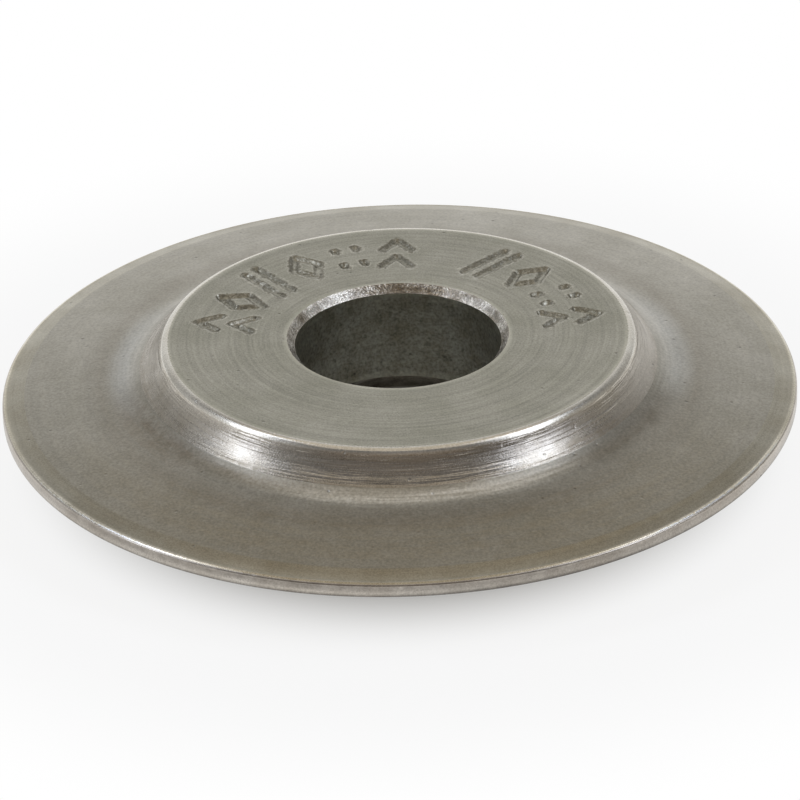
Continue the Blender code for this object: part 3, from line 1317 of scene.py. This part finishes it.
    def build_tree(self) -> tuple[bpy.types.NodeTree, dict[str, str]]:
        """Write the tree that makes the wheel from its section.

        Returns:
            The tree, and the identifiers of its inputs by name.
        """
        tree = bpy.data.node_groups.new("turned_wheel", 'GeometryNodeTree')
        kinds = {
            "Section": "Geometry",
            "Turning steps": "Int",
            "Hoop radius": "Float",
            "Weld distance": "Float",
            "Punch seats": "Object",
            "Punches": "Collection",
            "Stroke width": "Float",
            "Wall width": "Float",
            "Depth": "Float",
            "Burr height": "Float",
            "Nick places": "Object",
            "Nick size": "Float",
            "Nick depth": "Float",
            "Seed": "Int",
        }
        kinds |= {f"Finish of {zone.name}": "Material" for zone in Zone}
        identifiers = {name: self.input_socket(tree, name, kind) for name, kind in kinds.items()}
        tree.interface.new_socket(name="Wheel", in_out='OUTPUT', socket_type="NodeSocketGeometry")
        entry = tree.nodes.new("NodeGroupInput")
        inputs = {name: entry.outputs[name] for name in kinds}
        bench = NodeBench(tree)
        body = self.sweep_body(bench, inputs)
        body = self.strike_marks(bench, inputs, body)
        body = self.dent_edges(bench, inputs, body)
        body = bench.add("GeometryNodeRealizeInstances", {"Geometry": body})
        surface = bench.add("GeometryNodeInputNamedAttribute", {"Name": "zone"}, data_type='INT')
        for zone in Zone:
            from_here = bench.add(
                "FunctionNodeCompare",
                {2: surface, 3: int(zone)},
                data_type='INT',
                operation='GREATER_EQUAL',
            )
            body = bench.add(
                "GeometryNodeSetMaterial",
                {"Geometry": body, "Selection": from_here, "Material": inputs[f"Finish of {zone.name}"]},
            )
        bench.add("NodeGroupOutput", {0: body})
        return tree, identifiers

    def build(self) -> bpy.types.Object:
        """Make the wheel as one plain mesh that stands for its CAD node.

        Returns:
            The wheel.
        """
        wheel = self.build_section()
        bpy.context.collection.objects.link(wheel)
        tree, identifiers = self.build_tree()
        seats = self.marks.build_seats(self.outline.upper_face)
        punches = self.marks.build_punches()
        nicks = self.nicks.build()
        values = {
            "Turning steps": self.turning_steps,
            "Hoop radius": self.hoop_radius * MM,
            "Weld distance": self.weld_distance * MM,
            "Punch seats": seats,
            "Punches": punches,
            "Stroke width": self.marks.stroke * MM,
            "Wall width": self.marks.wall * MM,
            "Depth": self.marks.depth * MM,
            "Burr height": self.marks.burr * MM,
            "Nick places": nicks,
            "Nick size": self.nicks.size * MM,
            "Nick depth": self.nicks.depth * MM,
            "Seed": self.seed,
        }
        values |= {f"Finish of {zone.name}": finish.build() for zone, finish in self.finishes.items()}
        sweep = wheel.modifiers.new("sweep", 'NODES')
        sweep.node_group = tree
        for name, value in values.items():
            sweep[identifiers[name]] = value
        view = bpy.context.evaluated_depsgraph_get()
        solid = bpy.data.meshes.new_from_object(
            wheel.evaluated_get(view), preserve_all_data_layers=True, depsgraph=view
        )
        wheel.modifiers.remove(sweep)
        wheel.data = solid
        solid.name = "turned_cutter_wheel"
        solid.shade_smooth()
        solid.set_sharp_from_angle(angle=math.radians(self.crease))
        for helper in (seats, nicks, *punches.objects):
            bpy.data.objects.remove(helper)
        bpy.data.collections.remove(punches)
        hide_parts(CAD_NODE)
        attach(wheel, CAD_BODY)
        LOG.info("%s: %d faces", wheel.name, len(solid.polygons))
        return wheel


@dataclass(frozen=True)
class SoftGlow:
    """A wide soft patch of light on the studio's dome.

    Attributes:
        azimuth: its direction round the dome.
        elevation: its height on the dome.
        spread: how wide it is; a higher power is narrower.
        strength: its light.
        tint: its colour.
    """

    azimuth: float
    elevation: float
    spread: float
    strength: float
    tint: str = "FFFFFF"


@dataclass(frozen=True)
class Softbox:
    """A soft lamp that faces the wheel.

    Attributes:
        name: its name.
        azimuth: its direction.
        elevation: its height above the horizon.
        distance: its distance from the wheel, in metres.
        width: its width, in metres.
        length: its length, in metres.
        lean: turn of its long side from upright, anticlockwise as the lamp looks at the wheel from behind.
        power: its power, in watts.
        tint: its colour.
    """

    name: str
    azimuth: float
    elevation: float
    distance: float
    width: float
    length: float
    lean: float
    power: float
    tint: str = "FFFFFF"


@dataclass(frozen=True)
class Studio:
    """A pale floor under soft glows, with soft lamps and the photograph's camera.

    The floor shows white far from the wheel, keeps its shadow near the rim, and is left dark under the
    wheel, where the bore looks down on it.

    Attributes:
        floor_height: height of the floor.
        floor_half_width: half its width, in metres.
        floor_colour: its colour.
        floor_lift: how far it is lifted to white between the wheel and the open.
        lift_under_wheel: radii between which that lift begins.
        lift_in_the_open: radii between which it becomes full.
        glows: the soft patches of light on the dome.
        lamps: the soft lamps.
        camera_elevation: height of the camera above the horizon.
        camera_roll: its roll, clockwise.
        camera_distance: its distance from the wheel's axis.
        camera_focus: its focal length, in pixels of the image.
        optical_centre: pixel at which it aims.
        aim_height: height of the point at which it aims.
        sensor_width: width of its sensor.
        nearest_view: distance from which it sees.
    """

    floor_height: float = -1.5
    floor_half_width: float = 1.0
    floor_colour: str = "F4F4F2"
    floor_lift: float = 0.86
    lift_under_wheel: Point = (5.0, 9.3)
    lift_in_the_open: Point = (11.0, 17.0)
    glows: tuple[SoftGlow, ...] = (
        SoftGlow(90.0, 5.0, 3.0, 1.12),
        SoftGlow(180.0, 12.0, 5.0, 0.745),
        SoftGlow(0.0, 12.0, 5.0, 0.411, "FFFAF0"),
        SoftGlow(-90.0, 20.0, 4.0, 0.234, "FFE9D0"),
        SoftGlow(-90.0, 60.0, 5.0, 0.149, "EEF3FF"),
    )
    lamps: tuple[Softbox, ...] = (
        Softbox("left_softbox", 179.0, 43.7, 0.50, 0.12, 0.46, 38.0, 0.54, "E9F0FF"),
        Softbox("right_softbox", -11.3, 46.7, 0.50, 0.17, 0.46, -36.7, 0.76, "E9F0FF"),
        Softbox("overhead_softbox", 90.0, 82.0, 0.50, 0.50, 0.50, 0.0, 0.36, "FFF2DE"),
    )
    camera_elevation: float = 28.577
    camera_roll: float = 1.779
    camera_distance: float = 159.47
    camera_focus: float = 6845.7
    optical_centre: Point = (399.43, 385.40)
    aim_height: float = 0.15
    sensor_width: float = 36.0
    nearest_view: float = 1.0

    def lay_floor(self) -> bpy.types.Object:
        """Lay the pale floor, which shows nearly white and keeps the wheel's shadow.

        Returns:
            The floor.
        """
        half, height = self.floor_half_width, self.floor_height * MM
        mesh = bpy.data.meshes.new("studio_floor")
        mesh.from_pydata(
            [(-half, -half, height), (half, -half, height), (half, half, height), (-half, half, height)],
            [],
            [(0, 1, 2, 3)],
        )
        paint = bpy.data.materials.new("matt_white_sweep")
        paint.use_nodes = True
        paint.node_tree.nodes.clear()
        bench = NodeBench(paint.node_tree)
        matt = bench.add("ShaderNodeBsdfDiffuse", {"Color": linear(self.floor_colour)})
        white = bench.add("ShaderNodeEmission", {"Color": (1.0, 1.0, 1.0, 1.0), "Strength": 1.0})
        seen = bench.add("ShaderNodeLightPath", out="Is Camera Ray")
        path = seen.node
        for name in ("Is Glossy Ray", "Is Transmission Ray"):
            seen = bench.add("ShaderNodeMath", {0: seen, 1: path.outputs[name]}, operation='MAXIMUM')
        place = bench.add("ShaderNodeTexCoord", out="Object")
        flat = bench.add("ShaderNodeVectorMath", {0: place, 1: (1.0, 1.0, 0.0)}, operation='MULTIPLY')
        radius = bench.add("ShaderNodeVectorMath", {0: flat}, out="Value", operation='LENGTH')
        share = seen
        for (start, end), least in ((self.lift_under_wheel, 0.0), (self.lift_in_the_open, self.floor_lift)):
            lift = bench.add(
                "ShaderNodeMapRange",
                {"Value": radius, "From Min": start * MM, "From Max": end * MM, "To Min": least},
                interpolation_type='SMOOTHSTEP',
            )
            share = bench.add("ShaderNodeMath", {0: share, 1: lift}, operation='MULTIPLY')
        surface = bench.add("ShaderNodeMixShader", {0: share, 1: matt, 2: white})
        bench.add("ShaderNodeOutputMaterial", {"Surface": surface})
        mesh.materials.append(paint)
        floor = bpy.data.objects.new("studio_floor", mesh)
        bpy.context.collection.objects.link(floor)
        return floor

    def light_dome(self) -> bpy.types.World:
        """Put the soft glows on the dome.

        Returns:
            The world that holds them.
        """
        world = bpy.data.worlds.new("soft_dome")
        world.use_nodes = True
        world.node_tree.nodes.clear()
        bench = NodeBench(world.node_tree)
        towards = bench.add("ShaderNodeTexCoord", out="Generated")
        light = (0.0, 0.0, 0.0)
        for glow in self.glows:
            middle = direction(glow.azimuth, glow.elevation)
            facing = bench.add(
                "ShaderNodeVectorMath", {0: towards, 1: middle}, out="Value", operation='DOT_PRODUCT'
            )
            facing = bench.add("ShaderNodeMath", {0: facing, 1: 0.0}, operation='MAXIMUM')
            fall = bench.add("ShaderNodeMath", {0: facing, 1: glow.spread}, operation='POWER')
            colour = tuple(glow.strength * channel for channel in linear(glow.tint)[:3])
            light = bench.add(
                "ShaderNodeVectorMath", {0: fall, 1: colour, 2: light}, operation='MULTIPLY_ADD'
            )
        background = bench.add("ShaderNodeBackground", {"Color": light})
        bench.add("ShaderNodeOutputWorld", {"Surface": background})
        bpy.context.scene.world = world
        return world

    def hang_lamps(self) -> list[bpy.types.Object]:
        """Hang the soft lamps.

        Returns:
            The lamps.
        """
        made = []
        for lamp in self.lamps:
            light = bpy.data.lights.new(lamp.name, 'AREA')
            light.shape = 'RECTANGLE'
            light.size = lamp.width
            light.size_y = lamp.length
            light.energy = lamp.power
            light.color = linear(lamp.tint)[:3]
            holder = bpy.data.objects.new(lamp.name, light)
            towards = direction(lamp.azimuth, lamp.elevation)
            holder.location = towards * lamp.distance
            holder.rotation_mode = 'QUATERNION'
            lean = Quaternion(towards, math.radians(lamp.lean))
            holder.rotation_quaternion = lean @ towards.to_track_quat('Z', 'Y')
            holder.visible_camera = False
            bpy.context.collection.objects.link(holder)
            made.append(holder)
        return made

    def place_camera(self) -> bpy.types.Object:
        """Set the camera where the photograph was taken from.

        Returns:
            The camera.
        """
        lens = bpy.data.cameras.new("photograph_camera")
        camera = bpy.data.objects.new("photograph_camera", lens)
        bpy.context.collection.objects.link(camera)
        back = direction(-90.0, self.camera_elevation)
        camera.location = back * self.camera_distance * MM + Vector((0.0, 0.0, self.aim_height * MM))
        camera.rotation_mode = 'QUATERNION'
        level = back.to_track_quat('Z', 'Y')
        camera.rotation_quaternion = Quaternion(back, math.radians(-self.camera_roll)) @ level
        lens.sensor_width = self.sensor_width
        lens.lens = self.camera_focus * self.sensor_width / IMAGE_SIDE
        lens.shift_x = (IMAGE_SIDE / 2 - self.optical_centre[0]) / IMAGE_SIDE
        lens.shift_y = (self.optical_centre[1] - IMAGE_SIDE / 2) / IMAGE_SIDE
        lens.clip_start = self.nearest_view * MM
        bpy.context.scene.camera = camera
        return camera

    def build(self) -> None:
        """Set up the whole studio."""
        self.lay_floor()
        self.light_dome()
        lamps = self.hang_lamps()
        self.place_camera()
        LOG.info("studio: %d lamps and %d glows", len(lamps), len(self.glows))


def main() -> None:
    """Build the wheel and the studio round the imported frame."""
    logging.basicConfig(level=logging.INFO, format="%(name)s: %(message)s")
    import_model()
    bpy.context.scene.view_settings.view_transform = 'Standard'
    CutterWheel(WheelOutline(), StampedMarks(), Nicks(), FINISHES).build()
    Studio().build()


if __name__ == "__main__":
    main()
